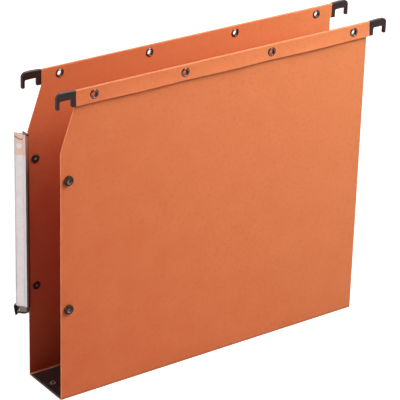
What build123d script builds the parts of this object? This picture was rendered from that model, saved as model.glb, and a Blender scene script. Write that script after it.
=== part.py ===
# Lateral hanging file folder: a card pocket with a stiffened base and a steel rail in each panel's hem,
# moulded hooks on the rails, hollow eyelets, press studs on the open edge and an angled label holder.
# Millimetres. The origin is the centre of the base's underside, +X runs along the rails, +Y to the rear.
from build123d import *
import os
from math import cos, radians, sin

os.makedirs("parts", exist_ok=True)

# Card, one sheet creased into front panel, base and rear panel
card_thickness = 0.5
panel_length = 322.2
folder_height = 289.5
base_depth = 52.2  # inside, from panel to panel
crease_gap = 0.15  # from the base's edge to each panel
corner_cut_rise = 39.5  # slanted corner below the hem on the open side

# Hems, folded outwards over the rails
flap_height = 14.0
hem_offset = 7.8  # from the middle of the panel to the middle of the hem
hem_clearance = 0.05
flap_corner_run = 2.8
flap_corner_rise = 1.4

# Rails
rail_thickness = 1.0
rail_height = 12.0
tongue_height = 4.4
tongue_length = 9.0
tongue_clearance = 0.1

# Hooks
hook_centres = 330.0  # between the two bars of the cabinet frame
hook_gap = 11.6
hook_inner_leg = 4.2
hook_outer_leg = 3.0
hook_bar = 6.8
hook_drop = 14.0
hook_crown = 0.5  # rise of the hook's top over the hem's
hook_thickness = 3.0
hook_shift = 0.35  # of the hook's middle outwards from the rail's
hook_seat_gap = 0.1  # from the hem's end to the hook
hook_outer_radius = 4.2
hook_crown_radius = 20.0
hook_gap_radius = 1.2
hook_leg_radius = 0.8
hook_corner_radius = 0.6
hook_edge_radius = 0.5

# Eyelets
eyelet_count = 4
eyelet_end_inset = 18.0  # from the hem's end to the first eyelet
eyelet_bore = 4.6
eyelet_wall = 0.4
eyelet_flange = 8.0
eyelet_clinch = 7.4
eyelet_rim = 0.7
eyelet_throat_share = 0.35  # height of the rim at the bore, of its full height
hole_clearance = 0.1

# Press studs
stud_edge_inset = 7.5  # from the panel's open edge
stud_low_share = 0.303  # height of the lower studs, of the folder's height
stud_high_share = 0.7227
stud_post = 3.0
socket_diameter = 9.0
socket_height = 2.6
socket_bore = 4.6
socket_floor = 0.6
socket_round = 1.4
stud_flange = 8.4
stud_flange_height = 1.0
stud_flange_edge_share = 0.5
stud_pin = 4.2
stud_pin_height = 1.9
stud_tip_radius = 0.7
stud_cap = 8.0
stud_cap_height = 1.0
stud_cap_edge_share = 0.35
stud_cap_crest_share = 0.75  # radius of the cap's raised ring, of the cap's radius
stud_cap_dish_share = 0.5
stud_cap_dish_depth = 0.4

# Base stiffener and its rivets
stiffener_thickness = 1.2
stiffener_side_gap = 2.4
stiffener_end_gap = 0.1
stiffener_corner_radius = 1.0
stiffener_edge_chamfer = 0.3
rivet_inset = 8.3  # from the base's end
rivet_shank = 4.0
rivet_head = 7.0
rivet_head_height = 0.8
rivet_head_edge_share = 0.3
rivet_foot = 6.2
rivet_foot_depth = 0.25  # pressed into the card, flush with its underside

# Label holder: clip on the rear panel's open edge, clear sleeve, end cap and paper label
clip_gap = 0.1  # round the card's edge
clip_web = 0.8
clip_lip = 0.8
clip_inner_reach = 0.6
clip_outer_reach = 2.4
clip_leg = 0.9
clip_leg_reach = 7.0
clip_pad = 0.9
clip_pad_length = 5.0
clip_pad_rise = 157.0  # below the finger scoop
clip_length = 165.3
holder_height = 68.0  # of the sleeve's lower end above the base's underside
sleeve_angle = 45.0  # between the panel and the label
sleeve_gap = 0.15  # from the clip's corner to the sleeve
sleeve_width = 10.3
sleeve_wall = 0.5
sleeve_rib = 2.2
sleeve_slot = 0.8
sleeve_length = 163.5
scoop_depth = 3.7
scoop_side = 0.9
scoop_radius = 2.4
label_thickness = 0.3
label_side_gap = 0.2
label_length = 164.3
end_plug_height = 1.5
end_plug_gap = 0.1
end_cap_height = 5.2
end_cap_side = 0.4  # past the sleeve on the clip's side and on both faces
end_lip_gap = 0.15
end_lip_reach = 1.2
end_lip_rise = 1.8
end_foot_drop = 2.6
end_foot_inset = 0.7
end_near_height_share = 0.75
end_wave_place_share = 0.5
end_bulge_share = 0.14  # bulge of the lower edge, of the cap's height
end_flare_share = 0.12

overrun = 1.0  # by which cuts pass the faces they open

# Places that follow from the sizes above
inner_half = base_depth / 2
outer_half = inner_half + card_thickness
crease_half = inner_half + card_thickness / 2
crease_height = card_thickness / 2
panel_half = panel_length / 2
fold_radius = rail_thickness / 2 + hem_clearance
rail_plane = outer_half + fold_radius
hem_face = rail_plane + fold_radius + card_thickness
hem_stack = hem_face - inner_half
fold_height = folder_height - card_thickness - fold_radius
flap_bottom = folder_height - flap_height
hem_middle = folder_height - flap_height / 2
hook_reach = hook_centres / 2 - hook_gap / 2 - hook_inner_leg  # from the hem's middle to each hook
hem_half = hook_reach - hook_seat_gap
hem_left = hem_offset - hem_half
hem_right = hem_offset + hem_half
tongue_middle = folder_height - hook_bar / 2
eyelet_first = hem_left + eyelet_end_inset
eyelet_pitch = 2 * (hem_half - eyelet_end_inset) / (eyelet_count - 1)
eyelet_places = [eyelet_first + i * eyelet_pitch for i in range(eyelet_count)]
barrel_radius = eyelet_bore / 2 + eyelet_wall
stud_x = stud_edge_inset - panel_half
stud_heights = {"lower": folder_height * stud_low_share, "upper": folder_height * stud_high_share}
rivet_reach = panel_half - rivet_inset
clip_corner_x = -panel_half - clip_gap - clip_web
clip_corner_y = outer_half + clip_gap + clip_lip
sleeve_half = sleeve_slot / 2 + sleeve_wall
slot_width = sleeve_width - sleeve_rib - sleeve_wall

sides = {"front": -1, "rear": 1}
ends = {"left": -1, "right": 1}


def upright(side, distance):
    """Plane of world X across and Z up, at this distance from the middle of the base on one side."""
    return Plane.XZ.offset(-side * distance)


def outward(side, depth):
    """Amount that extrudes a sketch on an upright plane away from the middle of the base."""
    return -side * depth


def turning(x, y, z, direction):
    """Plane for a piece turned about Y: radius across, and up along Y in this direction."""
    return Plane(origin=(x, y, z), x_dir=(1, 0, 0), z_dir=(0, 0, direction))


def label_plane(height):
    """Level plane of the label holder: across the label from its clip, and out of the label's face."""
    across = (-cos(radians(sleeve_angle)), sin(radians(sleeve_angle)), 0)
    corner = Vector(clip_corner_x, clip_corner_y, height)
    return Plane(origin=corner + Vector(across) * sleeve_gap, x_dir=across, z_dir=(0, 0, 1))


def label_face(depth):
    """Upright plane along the label, this far out of its middle: across the label and world Z up."""
    level = label_plane(0)
    return Plane(origin=level.from_local_coords((0, depth, 0)), x_dir=level.x_dir, z_dir=-level.y_dir)


def save(piece, node):
    """Label a finished piece and write it under its node's name."""
    piece.label = node
    export_step(piece, f"parts/{node}.step")


# Base card, between the two creases, with a recess pressed up round each rivet's foot
with BuildPart() as base_card:
    with BuildSketch():
        Rectangle(panel_length, 2 * (inner_half - crease_gap))
    extrude(amount=card_thickness)
    with BuildSketch():
        with Locations((-rivet_reach, 0), (rivet_reach, 0)):
            Circle(rivet_shank / 2 + hole_clearance)
    extrude(amount=card_thickness, mode=Mode.SUBTRACT)
    with BuildSketch():
        with Locations((-rivet_reach, 0), (rivet_reach, 0)):
            Circle(rivet_foot / 2 + hole_clearance)
    extrude(amount=rivet_foot_depth, mode=Mode.SUBTRACT)
save(base_card.part, "base_card")


# Base stiffener, a plastic plate that lies on the base card
with BuildPart() as base_stiffener:
    with BuildSketch(Plane.XY.offset(card_thickness)):
        RectangleRounded(
            panel_length - 2 * stiffener_end_gap,
            2 * (inner_half - stiffener_side_gap),
            stiffener_corner_radius,
        )
        with Locations((-rivet_reach, 0), (rivet_reach, 0)):
            Circle(rivet_shank / 2 + hole_clearance, mode=Mode.SUBTRACT)
    extrude(amount=stiffener_thickness)
    top_outline = base_stiffener.faces().sort_by(Axis.Z)[-1].outer_wire()
    chamfer(top_outline.edges(), stiffener_edge_chamfer)
save(base_stiffener.part, "base_stiffener")


def base_rivet(end):
    """Rivet through stiffener and card: a low domed head on top and a thin foot underneath."""
    plane = Plane(origin=(end * rivet_reach, 0, 0), x_dir=(1, 0, 0), z_dir=(0, -1, 0))
    seat = card_thickness + stiffener_thickness
    with BuildPart() as rivet:
        with BuildSketch(plane):
            with BuildLine():
                foot = Polyline(
                    (0, 0),
                    (rivet_foot / 2, 0),
                    (rivet_foot / 2, rivet_foot_depth),
                    (rivet_shank / 2, rivet_foot_depth),
                    (rivet_shank / 2, seat),
                    (rivet_head / 2, seat),
                    (rivet_head / 2, seat + rivet_head_height * rivet_head_edge_share),
                )
                crown = TangentArc((0, seat + rivet_head_height), foot @ 1, tangent=(1, 0))
                Line(crown @ 0, foot @ 0)
            make_face()
        revolve(axis=Axis(plane.origin, (0, 0, 1)))
    return rivet.part


for end_name, end in ends.items():
    save(base_rivet(end), f"base_{end_name}_rivet")


def panel(side):
    """Card panel: half-round edge on the crease, slanted corner, and hem folded out over the rail."""
    corner_cut_foot = flap_bottom - corner_cut_rise
    with BuildPart() as sheet:
        with BuildSketch(upright(side, inner_half)):
            with BuildLine():
                Polyline(
                    (-panel_half, crease_height),
                    (panel_half, crease_height),
                    (panel_half, flap_bottom),
                    (hem_right, flap_bottom + flap_corner_rise),
                    (hem_right, fold_height),
                    (hem_left, fold_height),
                    (hem_left, flap_bottom),
                    (-panel_half, corner_cut_foot),
                    close=True,
                )
            make_face()
        extrude(amount=outward(side, card_thickness))
        with BuildSketch(Plane.YZ):
            with Locations((side * crease_half, crease_height)):
                Circle(card_thickness / 2)
        extrude(amount=panel_half, both=True)
        with BuildSketch(Plane.YZ.offset(hem_left)):
            with Locations((side * rail_plane, fold_height)):
                Circle(fold_radius + card_thickness)
                Circle(fold_radius, mode=Mode.SUBTRACT)
                Rectangle(2 * hem_face, flap_height, align=(Align.CENTER, Align.MAX), mode=Mode.SUBTRACT)
            with Locations((side * (hem_face - card_thickness / 2), flap_bottom)):
                Rectangle(card_thickness, fold_height - flap_bottom, align=(Align.CENTER, Align.MIN))
        extrude(amount=2 * hem_half)
        with BuildSketch(upright(side, outer_half + hem_clearance)):
            with BuildLine():
                Polyline(
                    (hem_right, flap_bottom),
                    (hem_right, flap_bottom + flap_corner_rise),
                    (hem_right - flap_corner_run, flap_bottom),
                    close=True,
                )
            make_face()
        extrude(amount=outward(side, hem_stack), mode=Mode.SUBTRACT)
        with BuildSketch(upright(side, inner_half - overrun)):
            with Locations(*[(x, hem_middle) for x in eyelet_places]):
                Circle(barrel_radius + hole_clearance)
            with Locations(*[(stud_x, height) for height in stud_heights.values()]):
                Circle(stud_post / 2 + hole_clearance)
        extrude(amount=outward(side, hem_stack + 2 * overrun), mode=Mode.SUBTRACT)
    return sheet.part


def rail(side):
    """Flat steel rail inside the hem, with a narrow tongue at each end that carries a hook."""
    rail_half = hem_half - hem_clearance
    with BuildPart() as strip:
        with BuildSketch(upright(side, rail_plane)):
            with Locations((hem_offset, fold_height)):
                Rectangle(2 * rail_half, rail_height, align=(Align.CENTER, Align.MAX))
            with Locations((hem_offset, tongue_middle)):
                Rectangle(2 * (hook_reach + tongue_length), tongue_height)
            with Locations(*[(x, hem_middle) for x in eyelet_places]):
                Circle(barrel_radius + hole_clearance, mode=Mode.SUBTRACT)
        extrude(amount=rail_thickness / 2, both=True)
    return strip.part


def hook(side, end):
    """Moulded hook: an open-bottomed gap between two legs, pushed onto the rail's tongue."""
    reaches = [hook_reach]
    for width in (hook_inner_leg, hook_gap, hook_outer_leg):
        reaches.append(reaches[-1] + width)
    heel, gap_near, gap_far, toe = [hem_offset + end * reach for reach in reaches]
    under_bar = folder_height - hook_bar
    leg_bottom = folder_height - hook_drop
    corners = {
        (heel, folder_height): hook_corner_radius,
        ((heel + toe) / 2, folder_height + hook_crown): hook_crown_radius,
        (toe, folder_height): hook_outer_radius,
        (toe, leg_bottom): hook_leg_radius,
        (gap_far, leg_bottom): hook_leg_radius,
        (gap_far, under_bar): hook_gap_radius,
        (gap_near, under_bar): hook_gap_radius,
        (gap_near, leg_bottom): hook_leg_radius,
        (heel, leg_bottom): hook_corner_radius,
    }
    with BuildPart() as moulding:
        with BuildSketch(upright(side, rail_plane + hook_shift)):
            with BuildLine():
                FilletPolyline(*corners, radius=list(corners.values()), close=True)
            make_face()
        extrude(amount=hook_thickness / 2, both=True)
        outlines = moulding.faces().filter_by(Axis.Y).edges()
        fillet(outlines, hook_edge_radius)
        with BuildSketch(upright(side, rail_plane)):
            with Locations((heel, tongue_middle)):
                Rectangle(2 * (tongue_length + tongue_clearance), tongue_height + 2 * tongue_clearance)
        extrude(amount=rail_thickness / 2 + tongue_clearance, both=True, mode=Mode.SUBTRACT)
    return moulding.part


def eyelet(side, x):
    """Hollow eyelet through panel, rail and flap: rolled flange outside, clinched rim inside."""
    plane = turning(x, side * inner_half, hem_middle, side)
    bore = eyelet_bore / 2
    throat = eyelet_rim * eyelet_throat_share
    flange_crest = (bore + eyelet_flange / 2) / 2
    clinch_crest = (bore + eyelet_clinch / 2) / 2
    with BuildPart() as ring:
        with BuildSketch(plane):
            with BuildLine():
                inside = Line((bore, -throat), (bore, hem_stack + throat))
                outside = Polyline(
                    (eyelet_flange / 2, hem_stack),
                    (barrel_radius, hem_stack),
                    (barrel_radius, 0),
                    (eyelet_clinch / 2, 0),
                )
                ThreePointArc(inside @ 1, (flange_crest, hem_stack + eyelet_rim), outside @ 0)
                ThreePointArc(outside @ 1, (clinch_crest, -eyelet_rim), inside @ 0)
            make_face()
        revolve(axis=Axis(plane.origin, plane.y_dir))
    return ring.part


def stud_cap_piece(side, height):
    """Dished cap on the panel's inner face, with a post through the card into the outer half."""
    plane = turning(stud_x, side * inner_half, height, -side)
    edge = stud_cap_height * stud_cap_edge_share
    crest = (stud_cap / 2 * stud_cap_crest_share, stud_cap_height)
    dish = (stud_cap / 2 * stud_cap_dish_share, stud_cap_height - stud_cap_dish_depth)
    with BuildPart() as cap:
        with BuildSketch(plane):
            with BuildLine():
                shank = Polyline(
                    dish,
                    (0, stud_cap_height - stud_cap_dish_depth),
                    (0, -card_thickness - socket_floor),
                    (stud_post / 2, -card_thickness - socket_floor),
                    (stud_post / 2, 0),
                    (stud_cap / 2, 0),
                    (stud_cap / 2, edge),
                )
                TangentArc(crest, shank @ 1, tangent=(1, 0))
                TangentArc(crest, shank @ 0, tangent=(-1, 0))
            make_face()
        revolve(axis=Axis(plane.origin, plane.y_dir))
    return cap.part


def stud_socket_piece(side, height):
    """Socket half of a press stud on the panel's outer face, open to the outside."""
    plane = turning(stud_x, side * outer_half, height, side)
    rim = socket_diameter / 2 - socket_round
    shoulder = socket_height - socket_round
    with BuildPart() as socket:
        with BuildSketch(plane):
            with BuildLine():
                wall = Polyline(
                    (rim, socket_height),
                    (socket_bore / 2, socket_height),
                    (socket_bore / 2, socket_floor),
                    (stud_post / 2 + hole_clearance, socket_floor),
                    (stud_post / 2 + hole_clearance, 0),
                    (socket_diameter / 2, 0),
                    (socket_diameter / 2, shoulder),
                )
                TangentArc(wall @ 1, wall @ 0, tangent=(0, 1))
            make_face()
        revolve(axis=Axis(plane.origin, plane.y_dir))
    return socket.part


def stud_pin_piece(side, height):
    """Pin half of a press stud on the panel's outer face, which enters a socket of the same size."""
    plane = turning(stud_x, side * outer_half, height, side)
    tip = stud_flange_height + stud_pin_height
    edge = stud_flange_height * stud_flange_edge_share
    with BuildPart() as pin:
        with BuildSketch(plane):
            with BuildLine():
                wall = Polyline(
                    (stud_pin / 2 - stud_tip_radius, tip),
                    (0, tip),
                    (0, socket_floor),
                    (stud_post / 2 + hole_clearance, socket_floor),
                    (stud_post / 2 + hole_clearance, 0),
                    (stud_flange / 2, 0),
                    (stud_flange / 2, edge),
                    (stud_flange / 2 - edge, stud_flange_height),
                    (stud_pin / 2, stud_flange_height),
                    (stud_pin / 2, tip - stud_tip_radius),
                )
                TangentArc(wall @ 1, wall @ 0, tangent=(0, 1))
            make_face()
        revolve(axis=Axis(plane.origin, plane.y_dir))
    return pin.part


stud_outer_pieces = {"front": stud_socket_piece, "rear": stud_pin_piece}
stud_outer_names = {"front": "socket", "rear": "stud"}

for side_name, side in sides.items():
    save(panel(side), f"{side_name}_panel")
    save(rail(side), f"{side_name}_rail")
    for end_name, end in ends.items():
        save(hook(side, end), f"{side_name}_{end_name}_hook")
    for number, x in enumerate(eyelet_places, start=1):
        save(eyelet(side, x), f"{side_name}_eyelet_{number}")
    for stud_name, height in stud_heights.items():
        outer_piece = stud_outer_pieces[side_name](side, height)
        save(outer_piece, f"{side_name}_{stud_name}_{stud_outer_names[side_name]}")
        save(stud_cap_piece(side, height), f"{side_name}_{stud_name}_cap")


# Label clip: a channel round the rear panel's open edge, a leg to the rear and a slanted sleeve pad
with BuildPart() as label_clip:
    with BuildSketch(Plane.XY.offset(holder_height)):
        with Locations((clip_corner_x, clip_corner_y)):
            Rectangle(clip_web, card_thickness + 2 * (clip_gap + clip_lip), align=(Align.MIN, Align.MAX))
        with Locations((clip_corner_x, inner_half - clip_gap)):
            Rectangle(clip_web + clip_gap + clip_inner_reach, clip_lip, align=(Align.MIN, Align.MAX))
        with Locations((clip_corner_x, clip_corner_y)):
            Rectangle(clip_web + clip_gap + clip_outer_reach, clip_lip, align=(Align.MIN, Align.MAX))
        with Locations((clip_corner_x + clip_web, clip_corner_y)):
            Rectangle(clip_leg, clip_leg_reach, align=(Align.MIN, Align.MIN))
    extrude(amount=clip_length)
    with BuildSketch(label_plane(holder_height)):
        with Locations((0, -sleeve_half)):
            Rectangle(clip_pad_length, clip_pad, align=(Align.MIN, Align.MAX))
    extrude(amount=clip_pad_rise)
save(label_clip.part, "label_clip")


# Label sleeve, a flat clear tube with a finger scoop in the front wall's top edge
with BuildPart() as label_sleeve:
    with BuildSketch(label_plane(holder_height)):
        with Locations((0, -sleeve_half)):
            Rectangle(sleeve_width, 2 * sleeve_half, align=(Align.MIN, Align.MIN))
        with Locations((sleeve_rib, 0)):
            Rectangle(slot_width, sleeve_slot, align=(Align.MIN, Align.CENTER), mode=Mode.SUBTRACT)
    extrude(amount=sleeve_length)
    with BuildSketch(label_face(sleeve_half + overrun)):
        with Locations((sleeve_width / 2, holder_height + sleeve_length - scoop_depth)):
            RectangleRounded(
                sleeve_width - 2 * scoop_side,
                scoop_depth + scoop_radius + overrun,
                scoop_radius,
                align=(Align.CENTER, Align.MIN),
            )
    extrude(amount=sleeve_wall + overrun, mode=Mode.SUBTRACT)
save(label_sleeve.part, "label_sleeve")


# End cap: closes the sleeve's lower end, with a plug for the label to stand on and a flared finger lip
with BuildPart() as label_end_cap:
    with BuildSketch(label_face(sleeve_half + end_cap_side)):
        with BuildLine():
            lip_near = sleeve_width + end_lip_gap
            lip_tip = sleeve_width + end_lip_reach
            lip_top = holder_height + end_lip_rise
            low_edge = holder_height - end_cap_height
            near_low = (-end_cap_side, holder_height - end_cap_height * end_near_height_share)
            wave = (sleeve_width * end_wave_place_share, low_edge)
            foot = (sleeve_width - end_foot_inset, low_edge - end_foot_drop)
            Polyline(
                near_low,
                (-end_cap_side, holder_height),
                (lip_near, holder_height),
                (lip_near, lip_top),
                (lip_tip, lip_top),
            )
            SagittaArc((lip_tip, lip_top), foot, end_flare_share * end_cap_height)
            SagittaArc(foot, wave, -end_bulge_share * end_cap_height)
            SagittaArc(wave, near_low, end_bulge_share * end_cap_height)
        make_face()
    extrude(amount=2 * (sleeve_half + end_cap_side))
    with BuildSketch(label_plane(holder_height)):
        with Locations((sleeve_rib + end_plug_gap, 0)):
            Rectangle(
                slot_width - 2 * end_plug_gap,
                sleeve_slot - 2 * end_plug_gap,
                align=(Align.MIN, Align.CENTER),
            )
    extrude(amount=end_plug_height)
save(label_end_cap.part, "label_end_cap")


# Label, a paper strip that slides in the sleeve and stands on the plug
with BuildPart() as label_insert:
    with BuildSketch(label_plane(holder_height + end_plug_height)):
        with Locations((sleeve_rib + label_side_gap, 0)):
            Rectangle(slot_width - 2 * label_side_gap, label_thickness, align=(Align.MIN, Align.CENTER))
    extrude(amount=label_length)
save(label_insert.part, "label_insert")
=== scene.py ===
from math import cos, exp, pi, radians, sin
import bmesh
import bpy
from mathutils import Matrix, Vector


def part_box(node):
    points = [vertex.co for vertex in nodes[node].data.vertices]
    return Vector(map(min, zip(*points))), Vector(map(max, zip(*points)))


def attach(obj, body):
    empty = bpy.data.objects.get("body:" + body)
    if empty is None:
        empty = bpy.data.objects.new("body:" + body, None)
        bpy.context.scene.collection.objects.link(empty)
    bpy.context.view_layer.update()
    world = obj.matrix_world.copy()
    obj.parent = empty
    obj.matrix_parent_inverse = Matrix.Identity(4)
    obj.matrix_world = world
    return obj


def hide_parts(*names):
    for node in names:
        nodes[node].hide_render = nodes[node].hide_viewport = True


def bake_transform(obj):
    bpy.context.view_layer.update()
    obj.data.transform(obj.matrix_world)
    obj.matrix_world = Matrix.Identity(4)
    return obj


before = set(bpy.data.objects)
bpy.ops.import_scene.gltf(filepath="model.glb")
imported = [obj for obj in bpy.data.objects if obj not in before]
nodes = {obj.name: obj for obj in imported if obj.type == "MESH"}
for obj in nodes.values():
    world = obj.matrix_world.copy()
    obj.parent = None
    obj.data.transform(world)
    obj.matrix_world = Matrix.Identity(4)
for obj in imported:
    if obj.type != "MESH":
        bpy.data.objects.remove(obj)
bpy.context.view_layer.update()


# Card
# The body of the folder is one sheet of kraft card, dyed orange right through, cut, scored and folded.
# Its three parts swing on the two creases, and each hem's flap stands off a little between the eyelets.
# Outside, a painted sheen pales it towards the far end and the top, the cut edges are paler, the open edges
# are rubbed pale, and the fold is rubbed pale as wear and as a painted highlight. Painted shade darkens the
# line under the flap, the bottom crease, the far edge and the cut ends at the foot. Inside, painted bounce
# light reddens it low down, and painted shade deepens it at the foot and up towards the slanted corner.
# Deep orange, for the dark mottle and for the painted shade on the inner faces
CARD_DEEP = (0.545, 0.112, 0.034, 1)
CARD_MAIN = (0.718, 0.141, 0.043, 1)
# Painted sheen: the paler tone towards the far end and the top, where more light falls
CARD_PAINTED_SHEEN = (0.718, 0.224, 0.075, 1)
CARD_PALE = (0.820, 0.235, 0.088, 1)
# Painted bounce light: the redder tone of light bounced between the two orange panels
CARD_INNER_BOUNCE = (0.750, 0.103, 0.060, 1)
CARD_CUT = (0.900, 0.400, 0.210, 1)
CARD_CREASE = (0.930, 0.490, 0.320, 1)
# Painted shadow: the dark line under the flap
CARD_GAP_SHADOW = (0.280, 0.035, 0.008, 1)
# Painted shade of the rounded bottom crease on the outer faces
CARD_CREASE_SHADE = (0.110, 0.030, 0.020, 1)
# Painted shade of the rounded far edge
CARD_EDGE_SHADE = (0.300, 0.220, 0.180, 1)
# Painted shade on the cut ends at the foot
CARD_FOOT_CUT_SHADE = (0.050, 0.038, 0.036, 1)


def middle_of(node):
    """Middle of a CAD node's box."""
    low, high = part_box(node)
    return (low + high) / 2


base_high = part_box("base_card")[1]
panel_low, panel_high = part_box("rear_panel")
CARD_THICKNESS = base_high.z
PANEL_HALF = base_high.x
PANEL_INNER = panel_low.y
FOLDER_HEIGHT = panel_high.z
FOLD_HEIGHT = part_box("rear_rail")[1].z
HEM_LEFT = -0.1471
HEM_RIGHT = panel_high.x
CORNER_CUT_RUN = 0.0140
CORNER_CUT_RISE = 0.0395
FLAP_INNER = panel_high.y - CARD_THICKNESS
FLAP_MARGIN = 0.0001
FLAP_BOTTOM = 0.2755
FLAP_STANDOFF = 0.0006
FLAP_BOW = 0.0009
FLAP_STRIPS = 34
FLAP_ROWS = 5
EYELET_COUNT = 4
EYELET_FIRST = middle_of("rear_eyelet_1").x
EYELET_PITCH = (middle_of(f"rear_eyelet_{EYELET_COUNT}").x - EYELET_FIRST) / (EYELET_COUNT - 1)
CREASE_COVE = 0.0012
COVE_STEPS = 8
COVE_BITE = 0.00002
MERGE_DISTANCE = 1e-6
SNAP_DISTANCE = 2e-6
SHARP_ANGLE = radians(30)


def new_material(name):
    """Material with a Principled shader, with its node tree and its shader."""
    material = bpy.data.materials.new(name)
    material.use_nodes = True
    tree = material.node_tree
    return material, tree, tree.nodes["Principled BSDF"]


def add(tree, kind, values=None, **settings):
    """Node of one kind, with its settings, and with values or links on its inputs."""
    node = tree.nodes.new(kind)
    for name, value in settings.items():
        setattr(node, name, value)
    for key, value in (values or {}).items():
        if isinstance(value, bpy.types.NodeSocket):
            tree.links.new(value, node.inputs[key])
        else:
            node.inputs[key].default_value = value
    return node


def maths(tree, operation, *values):
    """Output of a Math node."""
    return add(tree, "ShaderNodeMath", dict(enumerate(values)), operation=operation).outputs[0]


# A Mix node has its sockets of all types at once under like names, so its colour sockets go by number
MIX_SHARE = 0
MIX_LOW = 6
MIX_HIGH = 7
MIX_RESULT = 2


def mixed(tree, share, low, high):
    """Output of a colour Mix node."""
    values = {MIX_SHARE: share, MIX_LOW: low, MIX_HIGH: high}
    return add(tree, "ShaderNodeMix", values, data_type="RGBA").outputs[MIX_RESULT]


def tinted(tree, tone, colour, share, *shares):
    """Tone mixed towards a colour by the product of one or more shares."""
    for other in shares:
        share = maths(tree, "MULTIPLY", share, other)
    return mixed(tree, share, tone, colour)


def ranged(tree, value, low, high, at_low=0.0, at_high=1.0):
    """Output of a clamped Map Range node."""
    values = {"Value": value, "From Min": low, "From Max": high, "To Min": at_low, "To Max": at_high}
    return add(tree, "ShaderNodeMapRange", values).outputs["Result"]


def noise(tree, place, scale, detail, roughness=0.5):
    """Outputs of a Noise Texture node."""
    values = {"Vector": place, "Scale": scale, "Detail": detail, "Roughness": roughness}
    return add(tree, "ShaderNodeTexNoise", values).outputs


def wire(tree, node, **links):
    """Link outputs to a node's inputs, named with _ for a space."""
    for name, output in links.items():
        tree.links.new(output, node.inputs[name.replace("_", " ")])


def shader_group(name, inputs, outputs):
    """Empty shader node group, with what it is given and its output node; only Place is a vector."""
    group = bpy.data.node_groups.new(name, "ShaderNodeTree")
    for socket, default in inputs.items():
        kind = "NodeSocketVector" if socket == "Place" else "NodeSocketFloat"
        made = group.interface.new_socket(socket, in_out="INPUT", socket_type=kind)
        if default is not None:
            made.default_value = default
    for socket in outputs:
        group.interface.new_socket(socket, in_out="OUTPUT", socket_type="NodeSocketFloat")
    return group, group.nodes.new("NodeGroupInput").outputs, group.nodes.new("NodeGroupOutput")


FIBRE_SWIRL = 0.004
FIBRE_STRETCHES = ((0.28, 1.0, 1.0), (1.0, 1.0, 0.35))


def paper_fibre_group():
    """Pressed fibre of card and paper: clouds, mottle, short fibres, and the height of the last two."""
    group, given, out = shader_group(
        "paper_fibre",
        {"Place": None, "Cloud scale": 40.0, "Mottle scale": 260.0, "Fibre scale": 900.0},
        ("Cloud", "Mottle", "Fibre", "Height"),
    )
    place = given["Place"]
    cloud = noise(group, place, given["Cloud scale"], detail=3.0)["Fac"]
    mottle = noise(group, place, given["Mottle scale"], detail=4.0, roughness=0.6)["Fac"]
    bent = noise(group, place, given["Mottle scale"], detail=1.0)["Color"]
    swirl = add(group, "ShaderNodeVectorMath", {0: bent, "Scale": FIBRE_SWIRL}, operation="SCALE")
    warped = add(group, "ShaderNodeVectorMath", {0: place, 1: swirl.outputs[0]}, operation="ADD")
    strands = []
    for stretch in FIBRE_STRETCHES:
        drawn = add(group, "ShaderNodeMapping", {"Vector": warped.outputs[0], "Scale": stretch})
        strands.append(noise(group, drawn.outputs[0], given["Fibre scale"], detail=2.0)["Fac"])
    fibre = maths(group, "MAXIMUM", *strands)
    height = maths(group, "MULTIPLY", maths(group, "ADD", mottle, fibre), 0.5)
    wire(group, out, Cloud=cloud, Mottle=mottle, Fibre=fibre, Height=height)
    return group


paper_fibre = paper_fibre_group()

# A band is where it starts and ends, and its share at the start and at the end if they aren't 0 and 1
NOISE_SPAN = (0.3, 0.7)
NOISE_CORE = (0.35, 0.65)
# The painted sheen grows across the card to its far end and up to its top
SHEEN_ACROSS = (-PANEL_HALF, PANEL_HALF, 0.0, 0.62)
SHEEN_UP = (0.0, FOLDER_HEIGHT, 0.0, 0.38)
PALE_CLOUDS = (*NOISE_SPAN, 0.0, 0.35)
DARK_MOTTLE = (0.28, 0.50, 0.32, 0.0)
PALE_FIBRES = (0.52, 0.78, 0.0, 0.22)


def card_dye_and_sheen(tree, place, fibre):
    """Dye of the card with clouds, mottle and short fibres, and a painted sheen paler towards the far end and
    the top.
    """
    across = ranged(tree, place["X"], *SHEEN_ACROSS)
    up = ranged(tree, place["Z"], *SHEEN_UP)
    tone = mixed(tree, maths(tree, "ADD", across, up), CARD_MAIN, CARD_PAINTED_SHEEN)
    tone = tinted(tree, tone, CARD_PALE, ranged(tree, fibre["Cloud"], *PALE_CLOUDS))
    tone = tinted(tree, tone, CARD_DEEP, ranged(tree, fibre["Mottle"], *DARK_MOTTLE))
    return tinted(tree, tone, CARD_PALE, ranged(tree, fibre["Fibre"], *PALE_FIBRES))


CUT_FACING = (0.4, 0.6)
CUT_SHARE = 0.2
# The pale rub along the hem's fold is wear and also a painted highlight of the light on the fold
FOLD_WEAR_AND_HIGHLIGHT = (FOLDER_HEIGHT - 0.0012, FOLDER_HEIGHT, 0.0, 0.5)
RUBBED_EDGE = (0.0003, 0.0010, 0.4, 0.0)
RUBBED_PATCHES = (*NOISE_CORE, 0.25, 0.75)
HEM_UNRUBBED = 10.0


def from_open_edge(tree, place):
    """Distance from a panel's open edge or slanted corner, made large on the hem."""
    slant = Vector((CORNER_CUT_RISE, -CORNER_CUT_RUN)).normalized()
    from_left = maths(tree, "ADD", place["X"], PANEL_HALF)
    above_flap = maths(tree, "SUBTRACT", place["Z"], FLAP_BOTTOM)
    across = maths(tree, "MULTIPLY", maths(tree, "SUBTRACT", place["X"], HEM_LEFT), slant.x)
    from_slant = maths(tree, "ADD", across, maths(tree, "MULTIPLY", above_flap, slant.y))
    on_hem = maths(tree, "MULTIPLY", maths(tree, "MAXIMUM", above_flap, 0.0), HEM_UNRUBBED)
    return maths(tree, "ADD", maths(tree, "MINIMUM", from_left, from_slant), on_hem)


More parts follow.
